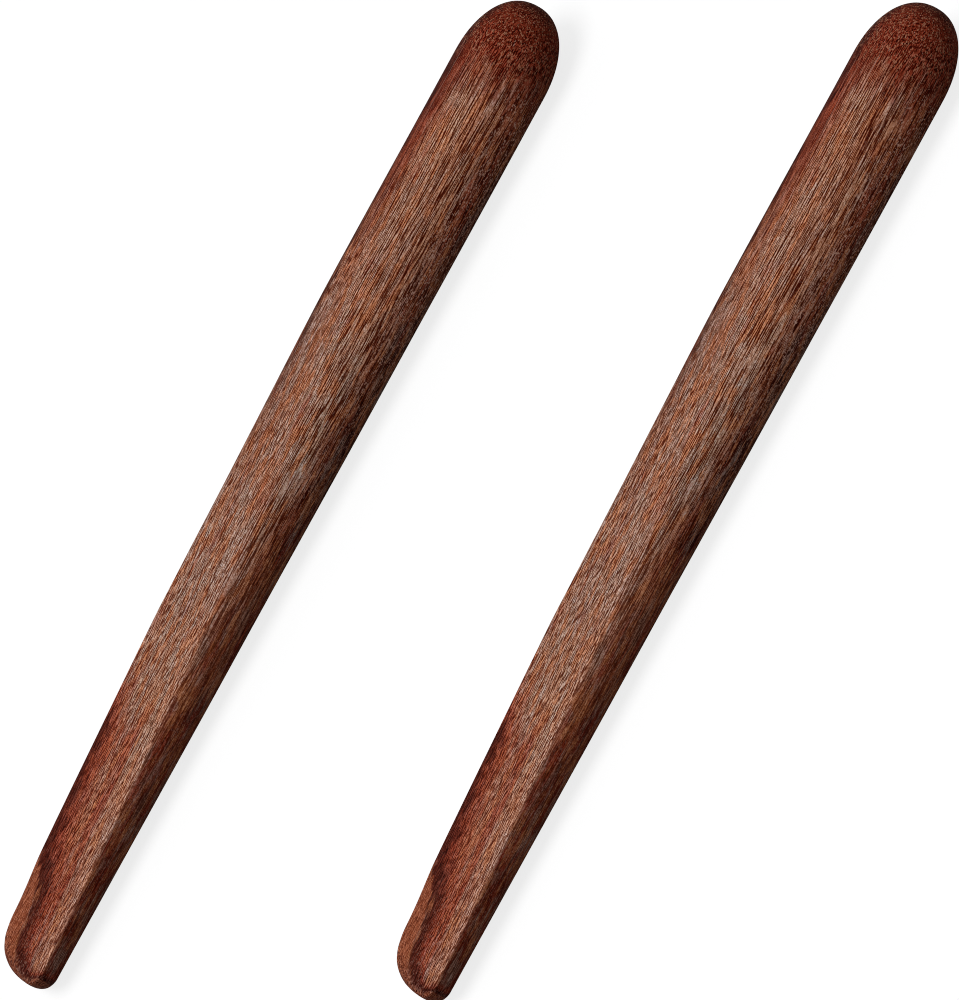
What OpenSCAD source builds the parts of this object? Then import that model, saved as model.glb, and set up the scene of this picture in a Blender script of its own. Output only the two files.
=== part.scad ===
// A pair of hardwood claves. Each stick is one solid piece of wood: a round
// shaft with a domed butt, a flat face that is cut on a long slope towards the
// tip, and a tip that is rounded off. They lie on the table with the cut faces up.

/* [Stick] */
// Length of one stick, from the top of the dome to the tip
stick_length = 240; // [200:1:300]
// Diameter of the straight part that the hand holds
grip_diameter = 22; // [18:0.5:26]
// Diameter that the shaft tapers down to at the tip
tip_diameter = 20.8; // [16:0.1:21.5]
// Distance from the top of the dome to where the taper and the cut face begin
grip_end = 62; // [40:1:90]

/* [Butt dome] */
// Length of the dome at the butt
dome_length = 17.3; // [12:0.1:24]
// Fullness of the dome: 2 is an ellipse, more is blunter
dome_fullness = 2.2; // [2:0.1:3]

/* [Cut face] */
// How far below the shaft's centre line the cut face ends, at the tip
face_end_drop = 1.95; // [0:0.05:3]

/* [Tip] */
// Radius that rounds off the face's far corner
corner_radius = 11.4; // [9:0.1:13]
// Distance of that rounding's centre from the shaft's centre line
corner_offset = 6.3; // [4:0.1:7]
// Lean of that rounding from upright, in degrees
corner_lean = 55; // [40:1:65]
// Radius of the edge around the end of the round back
tip_edge_radius = 4.5; // [3:0.1:6]

/* [Layout] */
// Distance between the two sticks' centre lines
stick_spacing = 132; // [60:1:200]
// How far the striking stick lies ahead of the held one, along the sticks
stick_stagger = 40; // [0:1:100]

/* [Hidden] */
$fn = 96;
dome_steps = 20;
past = 20;                     // how far each cutting solid reaches past the wood
grip_radius = grip_diameter / 2;
tip_radius = tip_diameter / 2;
butt_x = stick_length / 2;     // the stick's middle is at X = 0, its butt at +X
tip_x = -stick_length / 2;
shoulder_x = butt_x - dome_length;
taper_x = butt_x - grip_end;
tip_edge_x = tip_x + tip_edge_radius;
tip_flat_radius = tip_radius - tip_edge_radius;
taper_angle = atan((grip_radius - tip_radius) / (taper_x - tip_edge_x));
face_angle = atan((grip_radius + face_end_drop) / (taper_x - tip_x));
middle_radius = grip_radius - taper_x * tan(taper_angle);
rest_height = middle_radius * cos(taper_angle);

// Outline of the shaft as [radius, distance along the stick], from where the
// tip's rounded edge begins, along the taper and the grip, and over the dome
function dome_points() = [
    for (i = [0:dome_steps])
        let (a = 90 * i / dome_steps)
        [grip_radius * pow(cos(a), 2 / dome_fullness),
         shoulder_x + dome_length * pow(sin(a), 2 / dome_fullness)]
];
function shaft_outline() = concat(
    [[0, tip_edge_x], [tip_radius, tip_edge_x], [grip_radius, taper_x]],
    dome_points()
);

// The end of the round back: a flat disc with a full quarter round about it
module rounded_tip_end() {
    translate([0, 0, tip_edge_x]) {
        rotate_extrude()
            translate([tip_flat_radius, 0])
                circle(r = tip_edge_radius);
        translate([0, 0, -tip_edge_radius])
            cylinder(r = tip_flat_radius, h = 2 * tip_edge_radius);
    }
}

// The whole round shaft, along X, before anything is cut from it
module round_shaft() {
    rotate([0, 90, 0]) {
        rotate_extrude()
            polygon(shaft_outline());
        rounded_tip_end();
    }
}

// All that lies above the cut face, which starts at the top of the grip's end
module above_cut_face() {
    translate([taper_x, 0, grip_radius])
        rotate([0, -face_angle, 0])
            translate([-stick_length, -grip_diameter, 0])
                cube([stick_length + past, 2 * grip_diameter, grip_diameter]);
}

// What keeps the wood inside the rounding of the face's far corner: a leaning
// round bar at the tip, and a block behind it that keeps the rest of the stick
module inside_corner_rounding() {
    rotate([corner_lean, 0, 0])
        translate([tip_x + corner_radius, -corner_offset, 0]) {
            cylinder(r = corner_radius, h = 4 * grip_diameter, center = true);
            translate([0, -stick_length, -2 * grip_diameter])
                cube([stick_length, 2 * stick_length, 4 * grip_diameter]);
            translate([-corner_radius - past, -stick_length, -2 * grip_diameter])
                cube([stick_length, stick_length, 4 * grip_diameter]);
        }
}

// One stick lying on its round back, with its middle over the origin
module clave() {
    translate([0, 0, rest_height])
        rotate([0, -taper_angle, 0])
            intersection() {
                difference() {
                    round_shaft();
                    above_cut_face();
                }
                inside_corner_rounding();
            }
}

module held_clave() {
    color([0.42, 0.24, 0.18])
        translate([-stick_stagger / 2, stick_spacing / 2, 0])
            clave();
}

module striking_clave() {
    color([0.42, 0.24, 0.18])
        translate([stick_stagger / 2, -stick_spacing / 2, 0])
            clave();
}

held_clave();
striking_clave();
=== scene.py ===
"""A pair of claves: two smooth, solid sticks of open-pored, reddish-brown hardwood on a pale floor.

Each stick is meshed from one smooth shape, worked out in millimetres in the stick's own frame: the tip
is at -X, the domed butt at +X, the near side at -Y and the cut face up. Its wood is a solid material
that runs through it, and the places in the material are millimetres in the same frame.
"""

import math

import bpy
import numpy as np
from mathutils import Matrix, Vector, noise


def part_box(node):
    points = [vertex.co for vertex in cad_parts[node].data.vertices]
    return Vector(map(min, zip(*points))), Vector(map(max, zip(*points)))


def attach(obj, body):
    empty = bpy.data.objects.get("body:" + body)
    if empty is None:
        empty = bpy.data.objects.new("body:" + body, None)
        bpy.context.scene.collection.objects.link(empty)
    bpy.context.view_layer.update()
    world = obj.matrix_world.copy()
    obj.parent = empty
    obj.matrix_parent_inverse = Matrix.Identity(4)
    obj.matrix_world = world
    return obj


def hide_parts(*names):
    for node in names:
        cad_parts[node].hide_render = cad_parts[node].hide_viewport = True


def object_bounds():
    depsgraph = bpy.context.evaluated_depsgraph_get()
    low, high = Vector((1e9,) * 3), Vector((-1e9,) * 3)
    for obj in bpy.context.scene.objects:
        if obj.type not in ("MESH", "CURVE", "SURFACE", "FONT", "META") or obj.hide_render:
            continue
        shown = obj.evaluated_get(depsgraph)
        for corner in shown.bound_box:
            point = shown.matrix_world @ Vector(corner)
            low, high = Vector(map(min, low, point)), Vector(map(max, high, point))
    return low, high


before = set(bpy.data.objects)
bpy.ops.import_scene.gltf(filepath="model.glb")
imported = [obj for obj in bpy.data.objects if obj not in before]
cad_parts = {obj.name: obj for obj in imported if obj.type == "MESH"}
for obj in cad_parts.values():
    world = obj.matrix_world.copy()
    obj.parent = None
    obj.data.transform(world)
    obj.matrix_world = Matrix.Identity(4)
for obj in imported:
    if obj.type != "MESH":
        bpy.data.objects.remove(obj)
cad_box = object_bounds()

MM = 0.001
# Each stick's node and the body that it rides on
STICKS = {"held_clave": "held", "striking_clave": "striker"}
# How far along the wood the second stick's fibres and pores are moved, in millimetres, to be its own
FIBRE_SHIFT = 300.0


# ---- The stick's sizes, in millimetres ----

box_low, box_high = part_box("held_clave")
STICK_LENGTH = (box_high.x - box_low.x) / MM
GRIP_RADIUS = (box_high.y - box_low.y) / MM / 2
TAPER_DEPTH = 0.6
GRIP_END = 62
BUTT_X = STICK_LENGTH / 2
TIP_X = -STICK_LENGTH / 2
TAPER_X = BUTT_X - GRIP_END
DOME_LENGTH = 17.3
DOME_FULLNESS = 2.2
SHOULDER_X = BUTT_X - DOME_LENGTH
TAPER_ANGLE = math.atan(TAPER_DEPTH / (TAPER_X - TIP_X))
FACE_END_DROP = 1.35
FACE_SLOPE = (GRIP_RADIUS + FACE_END_DROP) / (TAPER_X - TIP_X)
CORNER_RADIUS = 12.4
CORNER_OFFSET = 6.9
CORNER_LEAN = math.radians(55)
CORNER_FADE_RADIUS = 46
TIP_EDGE = 4.5

# How softly the cut face's edges are rounded: width of the blend at some places along the stick
EASE_PLACES = (-60, -35, 10, 58)
NEAR_EASE = (0.3, 0.5, 4.5, 9)
FAR_EASE = (0.9, 0.9, 5, 9)
LEAST_EASE = 0.02
CORNER_EASE = 2.2
# The blend at the corner's rounding takes wood off the tip, and this gives it back
ROUNDING_ALLOWANCE = 0.45

# The mesh: rings over the tip, along the stick and over the dome, and points round each ring
TIP_RINGS = 38
BODY_RINGS = 376
DOME_RINGS = 42
FACE_POINTS = 70
BACK_POINTS = 122
# At least this much to each side of straight up counts as the face
LEAST_FACE_ANGLE = math.radians(50)
# The tip's rings fan out from this centre, and the other rings' centres move to it over this length
TIP_CENTRE_X = TIP_X + 9
TIP_CENTRE_Y = -3.5
CENTRE_SHIFT_LENGTH = 14
# How often an interval is halved to find the surface, and the step that the surface's slope is taken over
HALVINGS = 34
SLOPE_STEP = 0.02

# Hand-sanding waves and lengthwise ridges: height, and length along and across the stick
WAVES = (0.07, 34, 9)
RIDGES = (0.02, 46, 1.3)


# ---- Shape ----


def smooth_max(a, b, width):
    """The larger of a and b, rounded over where they are less than width apart."""
    share = np.clip(0.5 + 0.5 * (a - b) / width, 0, 1)
    return b + (a - b) * share + width * share * (1 - share)


def climb(value, start, end):
    """Goes evenly from 0 to 1 as value goes from start to end."""
    return np.clip((value - start) / (end - start), 0, 1)


def ease(share):
    """Makes a climb from 0 to 1 start and end gently."""
    return share * share * (3 - 2 * share)


def shaft_radius(x):
    """Radius of the round shaft: full in the grip, and tapering evenly to the tip and a little past it."""
    return GRIP_RADIUS - TAPER_DEPTH * np.clip((TAPER_X - x) / (TAPER_X - TIP_X), 0, 1.1)


def face_height(x):
    """Height of the cut face above the shaft's centre line."""
    return GRIP_RADIUS - (TAPER_X - x) * FACE_SLOPE


def shaft_distance(x, radial):
    """Distance from the round shaft's surface, with the butt's dome and the tip's rounded edge."""
    radius = shaft_radius(x)
    past = np.clip((x - SHOULDER_X) / DOME_LENGTH, 0, None)
    bulge = (radial / radius) ** DOME_FULLNESS + past**DOME_FULLNESS
    butt = bulge ** (1 / DOME_FULLNESS) * radius - radius
    side = radial - radius + TIP_EDGE
    end = TIP_X - ROUNDING_ALLOWANCE / 2 + TIP_EDGE - x
    outside = np.hypot(np.maximum(side, 0), np.maximum(end, 0))
    tip = outside + np.minimum(np.maximum(side, end), 0) - TIP_EDGE
    return np.where(x > 0, butt, tip)


def corner_distance(x, y, z):
    """Distance from the rounding of the face's far corner, which fades out behind the tip."""
    across = y * math.cos(CORNER_LEAN) + z * math.sin(CORNER_LEAN) + CORNER_OFFSET
    behind = x - TIP_X - CORNER_RADIUS
    at_tip = np.hypot(behind, np.maximum(across, 0)) - CORNER_RADIUS
    after = across - CORNER_RADIUS - behind**2 / (2 * CORNER_FADE_RADIUS)
    return np.where(behind < 0, at_tip, after)


def crease(x):
    """Sine of the angle between cut face and round shaft: 0 where the face begins, about 1 at the tip."""
    return np.sqrt(1 - np.clip(face_height(x) / shaft_radius(x), -1, 1) ** 2)


def distance(points):
    """About how far each point is from the stick's surface, negative inside."""
    x, y, z = points.T
    shaft = shaft_distance(x, np.hypot(y, z))
    face = z - face_height(x)
    near_ease = np.interp(x, EASE_PLACES, NEAR_EASE)
    far_ease = np.interp(x, EASE_PLACES, FAR_EASE)
    cut = smooth_max(shaft, face, np.where(y < 0, near_ease, far_ease) * crease(x) ** 2 + LEAST_EASE)
    return smooth_max(cut, corner_distance(x, y, z) - ROUNDING_ALLOWANCE, CORNER_EASE)


def centre_height(x):
    """Height of the middle of the stick's section."""
    return (np.minimum(face_height(x), shaft_radius(x)) - shaft_radius(x)) / 2


def centre_side(x):
    """Sideways place of the section's middle, which moves towards the tip's point at the very end."""
    return TIP_CENTRE_Y * (1 - ease(climb(x, TIP_CENTRE_X, TIP_CENTRE_X + CENTRE_SHIFT_LENGTH)))


def ring_angles(x):
    """Angles from straight up of the points round the ring at x. Two rows follow the face's edges."""
    half_width = shaft_radius(x) * crease(x)
    rise = face_height(x) - centre_height(x)
    near = max(math.atan2(half_width + centre_side(x), rise), LEAST_FACE_ANGLE)
    far = max(math.atan2(half_width - centre_side(x), rise), LEAST_FACE_ANGLE)
    face = np.linspace(-near, far, FACE_POINTS, endpoint=False)
    back = np.linspace(far, 2 * math.pi - near, BACK_POINTS, endpoint=False)
    return np.concatenate([face, back])


def rings():
    """The centre, the lean from -X and the points' angles of every ring, from the tip to the butt."""
    tip_centre = (TIP_CENTRE_X, centre_side(TIP_CENTRE_X), centre_height(TIP_CENTRE_X))
    for i in range(1, TIP_RINGS):
        yield tip_centre, math.pi / 2 * i / TIP_RINGS, ring_angles(TIP_CENTRE_X)
    for x in np.linspace(TIP_CENTRE_X, SHOULDER_X, BODY_RINGS + 1):
        yield (x, centre_side(x), centre_height(x)), math.pi / 2, ring_angles(x)
    for i in range(1, DOME_RINGS):
        yield (SHOULDER_X, 0, 0), math.pi / 2 * (1 + i / DOME_RINGS), ring_angles(SHOULDER_X)


def cast(origins, directions):
    """The points where rays from inside the stick meet its surface, found by halving the interval."""
    near = np.zeros(len(origins))
    far = np.full(len(origins), 3 * GRIP_RADIUS)
    for _ in range(HALVINGS):
        middle = (near + far) / 2
        inside = distance(origins + directions * middle[:, None]) < 0
        near = np.where(inside, middle, near)
        far = np.where(inside, far, middle)
    return origins + directions * near[:, None]


def surface_normals(points):
    """The outward direction of the surface at each point."""
    steps = SLOPE_STEP * np.eye(3)
    normals = np.stack([distance(points + step) - distance(points - step) for step in steps], axis=1)
    return normals / np.linalg.norm(normals, axis=1, keepdims=True)


def relief(point):
    """How far hand sanding and the grain leave the surface above or below the smooth shape."""
    x, y, z = point
    wave_height, wave_length, wave_width = WAVES
    waves = noise.noise(Vector((x / wave_length, y / wave_width, z / wave_width)))
    ridge_height, ridge_length, ridge_width = RIDGES
    ridge_place = Vector((x / ridge_length, y / ridge_width, z / ridge_width)) + Vector((7, 3, 5))
    return wave_height * waves + ridge_height * noise.noise(ridge_place)


def stick_surface():
    """One stick: its smooth points, its points with relief, the smooth shape's normals and its faces."""
    origins = [(TIP_CENTRE_X, centre_side(TIP_CENTRE_X), centre_height(TIP_CENTRE_X))]
    directions = [(-1, 0, 0)]
    for centre, lean, angles in rings():
        sideways = math.sin(lean)
        for angle in angles:
            origins.append(centre)
            directions.append((-math.cos(lean), sideways * math.sin(angle), sideways * math.cos(angle)))
    origins.append((SHOULDER_X, 0, 0))
    directions.append((1, 0, 0))
    smooth = cast(np.array(origins, float), np.array(directions, float))
    normals = surface_normals(smooth)
    heights = np.array([relief(point) for point in smooth])
    return smooth, smooth + normals * heights[:, None], normals, stick_faces(len(smooth))


def stick_faces(count):
    """Quads between neighbouring rings, and a fan of triangles at each end."""
    around = FACE_POINTS + BACK_POINTS
    last_ring = count - 1 - around
    faces = []
    for i in range(around):
        j = (i + 1) % around
        faces.append((0, 1 + i, 1 + j))
        faces.append((count - 1, last_ring + j, last_ring + i))
        for start in range(1, last_ring, around):
            faces.append((start + i, start + around + i, start + around + j, start + j))
    return faces


# ---- Places on the stick that its material reads ----


def pale_ridge_band(smooth):
    """From 0 to 1: the cut face close to its sharp near edge, where its colour is made paler."""
    x, y, z = smooth.T
    on_face = climb(z, face_height(x) - 0.6, face_height(x) - 0.3) * (y < 0)
    to_edge = -shaft_distance(x, np.hypot(y, z))
    pale_width = 2.6
    return on_face * climb(x, -10, -60) * np.exp(-((to_edge / pale_width) ** 2))


def cut_face(smooth):
    """From 0 to 1: where the surface is the flat cut face."""
    x, _, z = smooth.T
    return climb(z, face_height(x) - 0.4, face_height(x) - 0.1) * climb(x, 50, 20)


def under_ridge(smooth):
    """From 0 to 1: where the round side lies under the cut face's sharp near edge."""
    x, y, z = smooth.T
    return climb(z, face_height(x) - 0.05, face_height(x) - 0.35) * (y < 0) * climb(x, 10, -50)


def rim_depth(smooth):
    """Millimetres inside the dark layer by the tip's far rim, negative between it and the rim.

    The layer starts at the far edge, runs inwards from it towards the tip and follows the rim there.
    """
    x, y, z = smooth.T
    behind_tip = x - TIP_X
    inside = -np.maximum(shaft_distance(x, np.hypot(y, z)), corner_distance(x, y, z))
    rim_width = 4.2 * ease(climb(x, -78, -106)) * (1 - 0.6 * climb(behind_tip, 11, 2))
    spread = 1 + 1.3 * climb(behind_tip, 14, 34)
    near_side = climb(y, -4, -7) * climb(behind_tip, 2, 6)
    past_layer = 9
    return (inside - rim_width) / spread + past_layer * (near_side + climb(x, -62, -28))


def rest_matrix(node):
    """Turns and moves a stick from its own frame to where the CAD's stick rests on the floor."""
    low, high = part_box(node)
    middle_radius = GRIP_RADIUS - TAPER_X * math.tan(TAPER_ANGLE)
    height = middle_radius * math.cos(TAPER_ANGLE) * MM
    place = Vector(((low.x + high.x) / 2, (low.y + high.y) / 2, low.z + height))
    return Matrix.Translation(place) @ Matrix.Rotation(-TAPER_ANGLE, 4, "Y") @ Matrix.Scale(MM, 4)


def add_attribute(mesh, name, values):
    """Stores one number or one point for each vertex of the mesh, for its material to read."""
    values = np.asarray(values, np.float32)
    kind, key = ("FLOAT_VECTOR", "vector") if values.ndim == 2 else ("FLOAT", "value")
    mesh.attributes.new(name, kind, "POINT").data.foreach_set(key, values.ravel())


def make_stick(node, surface, along, material):
    """The visible stick in place of one CAD stick.

    Every stick's colours lie alike, and along says how far its fibres and pores are moved.
    """
    smooth, points, normals, faces = surface
    mesh = bpy.data.meshes.new(node + "_wood")
    mesh.from_pydata(points.tolist(), [], faces)
    mesh.transform(rest_matrix(node))
    mesh.polygons.foreach_set("use_smooth", [True] * len(mesh.polygons))
    add_attribute(mesh, "grain", smooth)
    add_attribute(mesh, "fibre", smooth + np.array([along, 0, 0]))
    add_attribute(mesh, "rim_depth", rim_depth(smooth))
    add_attribute(mesh, "end_grain", np.abs(normals[:, 0]))
    add_attribute(mesh, "pale_ridge_band", pale_ridge_band(smooth))
    add_attribute(mesh, "under_ridge", under_ridge(smooth))
    add_attribute(mesh, "cut_face", cut_face(smooth))
    mesh.materials.append(material)
    mesh.update()
    stick = bpy.data.objects.new(node + "_stick", mesh)
    bpy.context.scene.collection.objects.link(stick)
    return stick


# ---- Materials ----


class Nodes:
    """Adds nodes to one node tree and joins them."""

    def __init__(self, tree):
        self.tree = tree
        tree.nodes.clear()

    def add(self, kind, inputs=None, **settings):
        """A new node. Each of its inputs is given as a plain value or as another node's output."""
        made = self.tree.nodes.new("ShaderNode" + kind)
        for name, value in settings.items():
            setattr(made, name, value)
        for name, value in (inputs or {}).items():
            if isinstance(value, bpy.types.NodeSocket):
                self.tree.links.new(value, made.inputs[name])
            else:
                made.inputs[name].default_value = value
        return made

    def point(self, name):
        """The point that the mesh stores under this name."""
        return self.add("Attribute", attribute_name=name).outputs["Vector"]

    def number(self, name):
        """The number that the mesh stores under this name."""
        return self.add("Attribute", attribute_name=name).outputs["Fac"]

    def maths(self, operation, first, second=0.0):
        """The result of one operation on two numbers."""
        return self.add("Math", {0: first, 1: second}, operation=operation).outputs[0]

    def product(self, first, *others):
        """All these numbers multiplied together."""
        for other in others:
            first = self.maths("MULTIPLY", first, other)
        return first

    def vector(self, operation, first, second):
        """The result of one operation on two points."""
        return self.add("VectorMath", {0: first, 1: second}, operation=operation).outputs[0]

    def axes(self, point):
        """A point's X, Y and Z."""
        return self.add("SeparateXYZ", {0: point}).outputs

    def fade(self, value, start, end, low=0.0, high=1.0):
        """Goes smoothly from low to high as value goes from start to end."""
        inputs = {"Value": value, "From Min": start, "From Max": end, "To Min": low, "To Max": high}
        return self.add("MapRange", inputs, interpolation_type="SMOOTHSTEP").outputs[0]

    def mix(self, share, first, second, blend="MIX"):
        """Mixes two colours."""
        inputs = {0: share, 6: first, 7: second}
        return self.add("Mix", inputs, data_type="RGBA", blend_type=blend).outputs[2]

    def tint(self, colour, share, other):
        """Mixes this share of a plain colour into a colour."""
        return self.mix(share, colour, (*other, 1))

    def scaled(self, point, size, offset):
        """The point counted in lengths of this size, in millimetres, and moved by offset."""
        return self.vector("ADD", self.vector("MULTIPLY", point, [1 / length for length in size]), offset)

    def noise(self, point, size, detail=2.0, roughness=0.5, offset=(0, 0, 0)):
        """Noise whose blobs have about this size, in millimetres, along X, Y and Z."""
        place = self.scaled(point, size, offset)
        inputs = {"Vector": place, "Scale": 1.0, "Detail": detail, "Roughness": roughness}
        return self.add("TexNoise", inputs, noise_dimensions="3D")

    def swirl(self, point, size, reach, offset):
        """The point moved sideways at random, by up to about half of reach."""
        moved = self.noise(point, size, detail=1.0, offset=offset).outputs[1]
        moved = self.vector("SUBTRACT", moved, (0.5, 0.5, 0.5))
        moved = self.vector("MULTIPLY", moved, (0, reach, reach))
        return self.vector("ADD", point, moved)

    def cells(self, point, size, offset=(0, 0, 0)):
        """A random spot in each cell of this size: how far off it is, and random numbers of its own."""
        inputs = {"Vector": self.scaled(point, size, offset), "Scale": 1.0}
        cell = self.add("TexVoronoi", inputs, feature="F1")
        chances = self.add("SeparateColor", {0: cell.outputs["Color"]}).outputs
        return cell.outputs["Distance"], chances

    def ramp(self, value, stops):
        """A colour that depends on value, through stops of (value from 0 to 1, colour)."""
        made = self.add("ValToRGB", {0: value})
        elements = made.color_ramp.elements
        while len(elements) < len(stops):
            elements.new(1.0)
        for element, (place, colour) in zip(elements, stops):
            element.position = place
            element.color = (*colour, 1)
        return made.outputs[0]


TAN = (0.262, 0.112, 0.058)
GREY_TAN = (0.228, 0.120, 0.078)
PALE_TAN = (0.290, 0.120, 0.068)
ORANGE_BROWN = (0.255, 0.088, 0.042)
RIM_ORANGE = (0.210, 0.050, 0.020)
FLAME_ORANGE = (0.275, 0.075, 0.026)
RED_BROWN = (0.195, 0.032, 0.011)
DEEP_RED = (0.175, 0.016, 0.005)
BUTT_RED = (0.120, 0.014, 0.005)
PURPLE_BROWN = (0.042, 0.006, 0.003)
# Darker and lighter multipliers: on fibres, partly grain tone and partly painted shade and painted light;
# on specks, random tone
FIBRE_SHADE = (0.25, 0.085, 0.045)
FIBRE_SHINE = (1.65, 2.2, 2.7)
PORE_DARK = (0.010, 0.003, 0.002)
PALE_DUST_AND_GLINT = (0.52, 0.29, 0.22)

# The growth layers' centre line, as its Y and Z, and each layer's distance from it and colour
PITH = (-9.0, 14.0)
LAYERS = [
    (0.0, ORANGE_BROWN),
    (5.0, TAN),
    (8.5, ORANGE_BROWN),
    (10.5, TAN),
    (13.5, ORANGE_BROWN),
    (15.5, TAN),
    (18.0, ORANGE_BROWN),
    (20.5, ORANGE_BROWN),
    (22.0, RED_BROWN),
    (25.0, DEEP_RED),
    (27.5, PURPLE_BROWN),
    (32.0, DEEP_RED),
]

# Soft patches: size, place in the noise, the noise's values where they start and are full, most
# share, and colour
PATCHES = [
    ((12, 2.0, 2.0), (9, 2, 6), 0.45, 0.62, 0.55, GREY_TAN),
    ((9, 1.8, 1.8), (4, 4, 1), 0.48, 0.60, 0.85, FLAME_ORANGE),
    ((22, 4, 4), (2, 7, 3), 0.50, 0.62, 0.40, FLAME_ORANGE),
    ((14, 2.5, 2.5), (6, 1, 8), 0.55, 0.70, 0.45, DEEP_RED),
]

# Fibres on the round wood and on the cut face: size, step to the side where they catch the light,
# and place in the noise
ROUND_FIBRES = ((5.5, 0.21, 0.21), (0, 0.16, 0.08), (0, 0, 0))
FACE_FIBRES = ((2.2, 0.30, 0.30), (0, 0.25, 0.08), (3, 5, 1))

# Pores: size of the cell that holds one, its share of the cell, place in the noise, how often one is
# open and dark, and how strongly it shows
COARSE_PORES = ((150, 0.8, 0.8), 0.15, (0, 0, 0), 0.6, 0.5)
SMALL_PORES = ((110, 0.55, 0.55), 0.16, (31, 17, 11), 0.5, 0.4)


def ring_colour(nodes, point):
    """Growth layers: cylinders about a pith line that runs along X outside the stick."""
    bent = nodes.swirl(point, (60, 12, 12), 3.0, (3, 1, 4))
    across = nodes.vector("SUBTRACT", bent, (0, *PITH))
    across = nodes.vector("MULTIPLY", across, (0, 1, 1))
    depth = nodes.add("VectorMath", {0: across}, operation="LENGTH").outputs["Value"]
    span = LAYERS[-1][0]
    stops = [(layer_depth / span, colour) for layer_depth, colour in LAYERS]
    return nodes.ramp(nodes.maths("DIVIDE", depth, span), stops)


def paint_shade_low_side(nodes, colour, place):
    """Painted shade: darker and redder colour low on the stick, most of all under the cut face's near edge,
    where light falls off.
    """
    # Painted shade: redder, then near black, lower down the stick's side
    colour = nodes.tint(colour, nodes.fade(place["Z"], 3.5, -3.0, 0, 0.85), DEEP_RED)
    colour = nodes.tint(colour, nodes.fade(place["Z"], -1.8, -5.2, 0, 0.97), PURPLE_BROWN)
    beyond_grip = nodes.fade(place["X"], 75, 20, 0, 0.85)
    colour = nodes.tint(colour, nodes.product(nodes.fade(place["Z"], 1.0, -4.5), beyond_grip), PURPLE_BROWN)
    # Painted shade under the cut face's near edge: redder and darker
    below = nodes.number("under_ridge")
    colour = nodes.tint(colour, nodes.product(below, 0.75), DEEP_RED)
    return nodes.tint(colour, nodes.product(below, nodes.fade(place["Z"], 2.0, -2.5, 0, 0.8)), BUTT_RED)


def add_patches(nodes, colour, point, place):
    """Painted sheen that greys the top of the stick's middle, soft patches of the wood's own tone, and a
    pale band along the ridge.
    """
    # Painted sheen: greyer colour on top of the stick's middle
    by_middle = nodes.product(nodes.fade(place["X"], -80, -30), nodes.fade(place["X"], 75, 40, 0, 0.5))
    colour = nodes.tint(colour, nodes.product(by_middle, nodes.fade(place["Z"], 0, 5)), GREY_TAN)
    for size, offset, start, full, share, other in PATCHES:
        patch = nodes.noise(point, size, detail=3.0, roughness=0.65, offset=offset).outputs[0]
        colour = nodes.tint(colour, nodes.fade(patch, start, full, 0, share), other)
    # A paler band along the cut face's near edge
    return nodes.tint(colour, nodes.product(nodes.number("pale_ridge_band"), 0.6), PALE_TAN)


def darken_butt(nodes, colour, place, ragged):
    """The dark red dome, and the dark red far side that runs on from it along the grip, which is partly the
    dome's colour carried on and partly painted shade where the far side turns from the light. Painted shade
    also darkens the far edge and the dome's very end.
    """
    along = nodes.maths("ADD", place["X"], nodes.fade(ragged, 0.3, 0.7, -5, 5))
    far_side = nodes.maths("ADD", place["Y"], nodes.fade(ragged, 0.3, 0.7, -0.8, 0.8))
    # Partly painted shade: the far side darker and redder, more so towards the butt
    far_half = nodes.product(nodes.fade(far_side, -4.0, 0.5), nodes.fade(along, 40, 90, 0.15, 0.95))
    colour = nodes.tint(colour, nodes.product(far_half, nodes.fade(along, -30, 20)), BUTT_RED)
    colour = nodes.tint(colour, nodes.fade(along, 30, 70, 0, 0.15), RED_BROWN)
    colour = nodes.tint(colour, nodes.fade(along, 90, 109), BUTT_RED)
    # Painted shade: a near-black line along the far edge
    far_edge = nodes.maths("ADD", far_side, nodes.fade(along, 85, 105, 0, 2.5))
    painted_edge_shade = nodes.product(nodes.fade(far_edge, 2.0, 5.5), nodes.fade(along, -10, 60, 0, 0.9))
    colour = nodes.tint(colour, painted_edge_shade, PURPLE_BROWN)
    # Painted shade: the dome's very end darkened
    return nodes.tint(colour, nodes.fade(place["X"], 115.5, 120, 0, 0.8), PURPLE_BROWN)


def colour_tip_rim(nodes, colour, place, ragged):
    """An orange rim at the tip's far side, a dark layer inside it and deep red inside that."""
    wobble = nodes.product(nodes.fade(ragged, 0.3, 0.7, -1, 1), nodes.fade(place["X"], -110, -95, 0.3, 0.7))
    inside = nodes.maths("ADD", nodes.number("rim_depth"), wobble)
    colour = nodes.tint(colour, nodes.fade(inside, -0.6, -1.0, 0, 0.95), RIM_ORANGE)
    red = nodes.product(nodes.fade(inside, -0.8, 0.2), nodes.fade(inside, 5.5, 1.5), 0.75)
    colour = nodes.tint(colour, red, DEEP_RED)
    dark = nodes.product(nodes.fade(inside, -1.0, -0.1), nodes.fade(inside, 2.6, 0.3, 0, 0.9))
    colour = nodes.tint(colour, dark, PURPLE_BROWN)
    return nodes.tint(colour, nodes.fade(place["X"], -113, -121, 0, 0.6), PURPLE_BROWN)


def wood_colour(nodes, point):
    """The wood's colour before its fibres and pores."""
    place = nodes.axes(point)
    colour = ring_colour(nodes, point)
    colour = paint_shade_low_side(nodes, colour, place)
    colour = add_patches(nodes, colour, point, place)
    ragged = nodes.noise(point, (4, 1.2, 1.2), detail=3.0, offset=(2, 2, 9)).outputs[0]
    colour = darken_butt(nodes, colour, place, ragged)
    return colour_tip_rim(nodes, colour, place, ragged)


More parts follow.
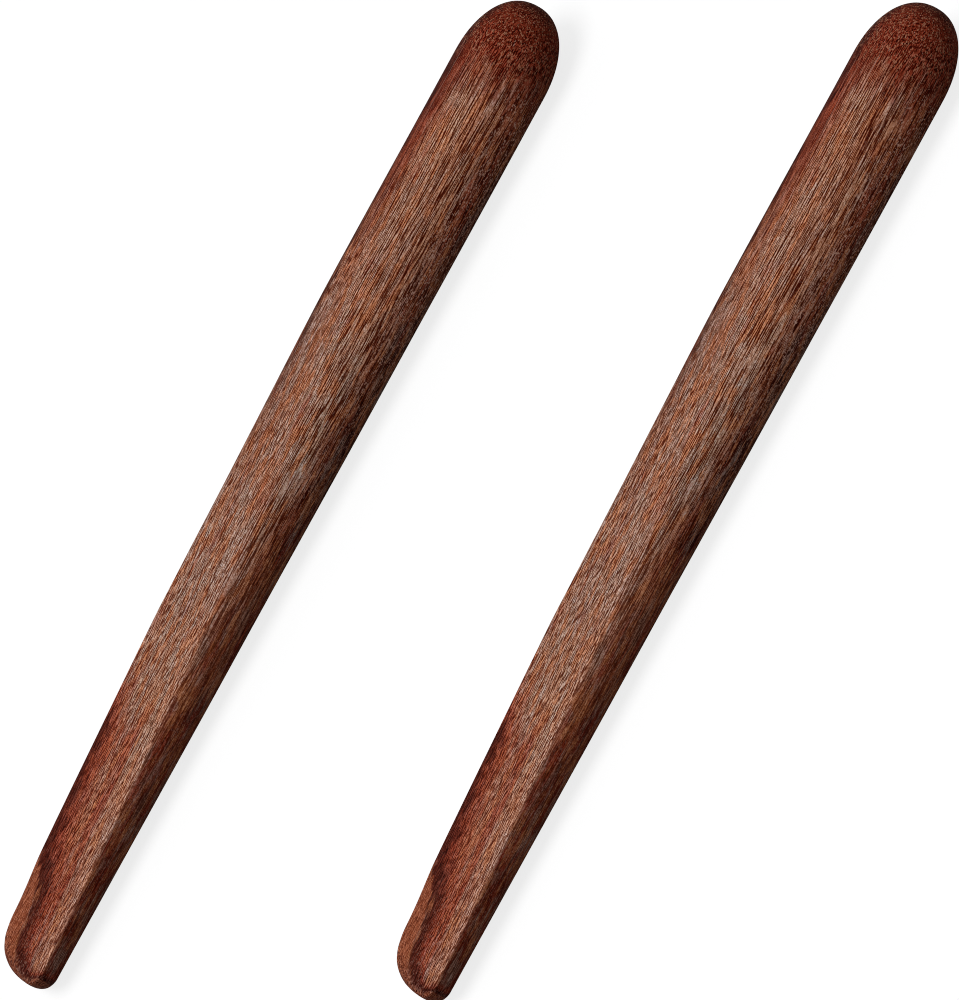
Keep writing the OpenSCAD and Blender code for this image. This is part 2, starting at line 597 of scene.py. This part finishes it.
def shade_and_shine(nodes, colour, shade, shine):
    """The colour darkened and lightened by these shares. On fibres this is partly grain tone and partly
    painted shade and painted light on their sides; on specks it is their own random tone.
    """
    colour = nodes.mix(shade, colour, (*FIBRE_SHADE, 1), blend="MULTIPLY")
    return nodes.mix(shine, colour, (*FIBRE_SHINE, 1), blend="MULTIPLY")


def add_fibres(nodes, colour, point, fibres, share):
    """Thin light and dark fibres, partly the grain's own tone and partly painted light and shade of their
    relief: the light ones lie by the dark ones' edges.
    """
    size, step, offset = fibres
    here = nodes.noise(point, size, detail=0.0, offset=offset).outputs[0]
    beside = nodes.noise(nodes.vector("ADD", point, step), size, detail=0.0, offset=offset).outputs[0]
    rise = nodes.maths("SUBTRACT", here, beside)
    shade = nodes.product(nodes.fade(rise, 0, -0.12), share)
    shine = nodes.product(nodes.fade(rise, 0, 0.12), share)
    return shade_and_shine(nodes, colour, shade, shine)


def add_specks(nodes, colour, point, share):
    """Tiny spots, each darker or lighter at random: the ends of fibres."""
    _, chances = nodes.cells(point, (0.40, 0.21, 0.21), (7, 2, 4))
    shade = nodes.fade(chances[0], 0.35, 0.15, 0, share)
    shine = nodes.fade(chances[0], 0.65, 0.85, 0, share)
    return shade_and_shine(nodes, colour, shade, shine)


def add_fine_grain(nodes, colour, point):
    """Fibres along the round side and along the cut face, and specks, which show most on end grain."""
    slope = nodes.number("end_grain")
    flat = nodes.number("cut_face")
    lengthwise = nodes.fade(slope, 0.6, 0.15, 0.25, 1)
    below = nodes.fade(nodes.number("under_ridge"), 0, 1, 1, 0.6)
    on_round = nodes.product(nodes.fade(flat, 1, 0, 0.1, 1.0), lengthwise, below)
    by_rim = nodes.fade(nodes.number("rim_depth"), -1, 2, 0.5, 1)
    on_face = nodes.product(nodes.fade(flat, 0, 1, 0, 0.9), by_rim)
    colour = add_fibres(nodes, colour, point, ROUND_FIBRES, on_round)
    colour = add_fibres(nodes, colour, point, FACE_FIBRES, on_face)
    return add_specks(nodes, colour, point, nodes.fade(slope, 0.05, 0.3, 0.55, 1))


def add_pores(nodes, colour, point, pores, calm):
    """Adds long thin vessels, some open and dark and some full of pale dust.

    Gives the new colour, and how much of a vessel there is at each point.
    """
    size, width, offset, dark_share, strength = pores
    spot, chances = nodes.cells(point, size, offset)
    amount = nodes.fade(spot, width, width * 0.6)
    filled = nodes.maths("GREATER_THAN", chances[0], dark_share)
    inside = nodes.mix(filled, (*PORE_DARK, 1), (*PALE_DUST_AND_GLINT, 1))
    return nodes.mix(nodes.product(amount, calm, strength), colour, inside), amount


def pore_strength(nodes, place):
    """How clearly the pores show: less by the tip's rim and in the lower parts, where painted shade darkens
    the colour.
    """
    by_rim = nodes.fade(nodes.number("rim_depth"), 3.0, 5.0, 0.1, 1)
    below = nodes.fade(nodes.number("under_ridge"), 0, 1, 1, 0.5)
    low = nodes.product(nodes.fade(place["Z"], 5, 0), nodes.fade(place["X"], 70, 20))
    return nodes.product(by_rim, below, nodes.fade(low, 0, 1, 1, 0.4))


def add_painted_glints(nodes, colour, point, place):
    """Painted glints: pale specks low on the near side and over the dome."""
    _, chances = nodes.cells(point, (0.45, 0.21, 0.21), (4, 8, 2))
    glinting = nodes.fade(chances[1], 0.84, 0.90)
    low = nodes.product(nodes.fade(place["Z"], 4, -1, 0.1, 1), nodes.fade(place["X"], -20, 60, 0.2, 0.95))
    near = nodes.product(low, nodes.fade(place["X"], 106, 98), nodes.fade(place["Y"], 5, -2, 0.2, 1))
    # Painted glints low on the near side, in the pale colour of the pores' dust
    colour = nodes.tint(colour, nodes.product(glinting, near), PALE_DUST_AND_GLINT)
    on_dome = nodes.fade(place["X"], 98, 108, 0, 0.9)
    # Painted glints over the dome
    return nodes.tint(colour, nodes.product(glinting, on_dome), PALE_TAN)


def make_hardwood():
    """Reddish-brown hardwood with open pores, thinly oiled and sanded smooth."""
    material = bpy.data.materials.new("hardwood")
    material.use_nodes = True
    nodes = Nodes(material.node_tree)
    grain = nodes.point("grain")
    place = nodes.axes(grain)
    # Fibres and pores aren't quite straight
    point = nodes.swirl(nodes.point("fibre"), (42, 10, 10), 1.0, (1, 8, 2))

    colour = wood_colour(nodes, grain)
    colour = add_fine_grain(nodes, colour, point)
    calm = pore_strength(nodes, place)
    colour, small = add_pores(nodes, colour, point, SMALL_PORES, calm)
    colour, coarse = add_pores(nodes, colour, point, COARSE_PORES, calm)
    colour = add_painted_glints(nodes, colour, point, place)

    every_pore = nodes.maths("MAXIMUM", coarse, nodes.product(small, 0.6))
    streaks = nodes.noise(point, (6, 0.34, 0.34), detail=1.0, roughness=0.6, offset=(5, 5, 5)).outputs[0]
    satin = nodes.fade(streaks, 0.3, 0.7, 0.46, 0.58)
    height = nodes.maths("SUBTRACT", nodes.fade(streaks, 0.36, 0.66, 0, 0.5), every_pore)
    bump = nodes.add("Bump", {"Strength": 1.0, "Distance": 0.02 * MM, "Height": height})

    inputs = {
        "Base Color": colour,
        "Roughness": nodes.maths("ADD", satin, nodes.product(every_pore, 0.25)),
        "Normal": bump.outputs[0],
        "Specular IOR Level": 0.02,
        "Specular Tint": (1.0, 0.65, 0.5, 1.0),
        "IOR": 1.5,
    }
    shader = nodes.add("BsdfPrincipled", inputs)
    nodes.add("OutputMaterial", {"Surface": shader.outputs[0]})
    return material


def make_floor_material():
    """Dull grey card that glows nearly white for the camera only.

    The ground looks white in the picture, and throws little light back on the sticks.
    """
    material = bpy.data.materials.new("studio_card")
    material.use_nodes = True
    nodes = Nodes(material.node_tree)
    place = nodes.add("TexCoord").outputs["Object"]
    mottle = nodes.add("TexNoise", {"Vector": place, "Scale": 3.0, "Detail": 2.0}).outputs[0]
    white = nodes.ramp(mottle, [(0.0, (0.90, 0.90, 0.90)), (1.0, (0.93, 0.93, 0.93))])
    grey = nodes.mix(1.0, white, (0.20, 0.20, 0.20, 1), blend="MULTIPLY")
    seen = nodes.add("LightPath").outputs["Is Camera Ray"]
    inputs = {
        "Base Color": nodes.mix(seen, (0.20, 0.19, 0.18, 1), grey),
        "Roughness": 0.9,
        "Specular IOR Level": 0.1,
        "Emission Color": white,
        "Emission Strength": nodes.product(seen, 0.88),
    }
    shader = nodes.add("BsdfPrincipled", inputs)
    nodes.add("OutputMaterial", {"Surface": shader.outputs[0]})
    return material


# ---- Studio ----

VIEW_ELEVATION = math.radians(35)
VIEW_LENS = 1600.0
SENSOR = 36.0
# How much of the scene the picture's height shows, at the sticks
VIEW_HEIGHT = 216.2 * MM
# The sticks' direction in the picture, as its share to the right and upwards
STICK_SLANT = (0.4836, 0.8753)
# How far right of and above the middle of the CAD's box the camera aims
AIM_SHIFT = (2.59 * MM, -1.54 * MM)
FLOOR_HALF = 6.0


def make_camera():
    """Looks down across the sticks from the side, rolled so that they rise to the upper right."""
    back = Vector((0, -math.cos(VIEW_ELEVATION), math.sin(VIEW_ELEVATION)))
    level_right = Vector((1, 0, 0))
    level_up = back.cross(level_right)
    right = STICK_SLANT[0] * level_right - STICK_SLANT[1] * level_up
    up = STICK_SLANT[1] * level_right + STICK_SLANT[0] * level_up
    low, high = cad_box
    aim = (low + high) / 2 + AIM_SHIFT[0] * right + AIM_SHIFT[1] * up
    data = bpy.data.cameras.new("camera")
    data.lens = VIEW_LENS
    data.sensor_width = SENSOR
    data.clip_start = 0.1
    data.clip_end = 60
    camera = bpy.data.objects.new("camera", data)
    place = aim + back * (VIEW_HEIGHT * VIEW_LENS / SENSOR)
    axes = Matrix((right, up, back)).transposed().to_4x4()
    camera.matrix_world = Matrix.Translation(place) @ axes
    bpy.context.scene.collection.objects.link(camera)
    bpy.context.scene.camera = camera


def make_sun(name, towards, strength, softness):
    """An even, soft light that shines from this direction. softness is its width in degrees."""
    data = bpy.data.lights.new(name, "SUN")
    data.energy = strength
    data.angle = math.radians(softness)
    light = bpy.data.objects.new(name, data)
    light.rotation_euler = Vector(towards).to_track_quat("Z", "Y").to_euler()
    light.visible_camera = False
    bpy.context.scene.collection.objects.link(light)


def make_world():
    """A dim grey room for the light that it gives, which is white for the camera only."""
    world = bpy.data.worlds.new("room")
    world.use_nodes = True
    nodes = Nodes(world.node_tree)
    seen = nodes.add("LightPath").outputs["Is Camera Ray"]
    dim = nodes.add("Background", {"Color": (0.95, 0.97, 1, 1), "Strength": 0.38})
    white = nodes.add("Background", {"Color": (1, 1, 1, 1), "Strength": 0.95})
    both = nodes.add("MixShader", {0: seen, 1: dim.outputs[0], 2: white.outputs[0]})
    nodes.add("OutputWorld", {"Surface": both.outputs[0]})
    bpy.context.scene.world = world


def make_floor():
    """A wide pale floor under the sticks."""
    level = cad_box[0].z
    signs = [(-1, -1), (1, -1), (1, 1), (-1, 1)]
    corners = [(FLOOR_HALF * x, FLOOR_HALF * y, level) for x, y in signs]
    mesh = bpy.data.meshes.new("floor")
    mesh.from_pydata(corners, [], [(0, 1, 2, 3)])
    mesh.materials.append(make_floor_material())
    floor = bpy.data.objects.new("floor", mesh)
    bpy.context.scene.collection.objects.link(floor)
    return floor


make_camera()
make_world()
make_sun("key", (-0.2, -0.15, 1), 2.45, 35)
make_sun("rim", (-0.6, 0.9, 0.7), 0.2, 50)
bpy.context.scene.view_settings.view_transform = "Standard"
# A narrow pixel filter and an unfiltered guide keep the fine fibres from being smoothed away
bpy.context.scene.cycles.filter_width = 1.0
bpy.context.scene.cycles.denoising_prefilter = "NONE"
floor = make_floor()

hardwood = make_hardwood()
surface = stick_surface()
for number, (node, body) in enumerate(STICKS.items()):
    stick = make_stick(node, surface, FIBRE_SHIFT * number, hardwood)
    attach(stick, body)
    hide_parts(node)
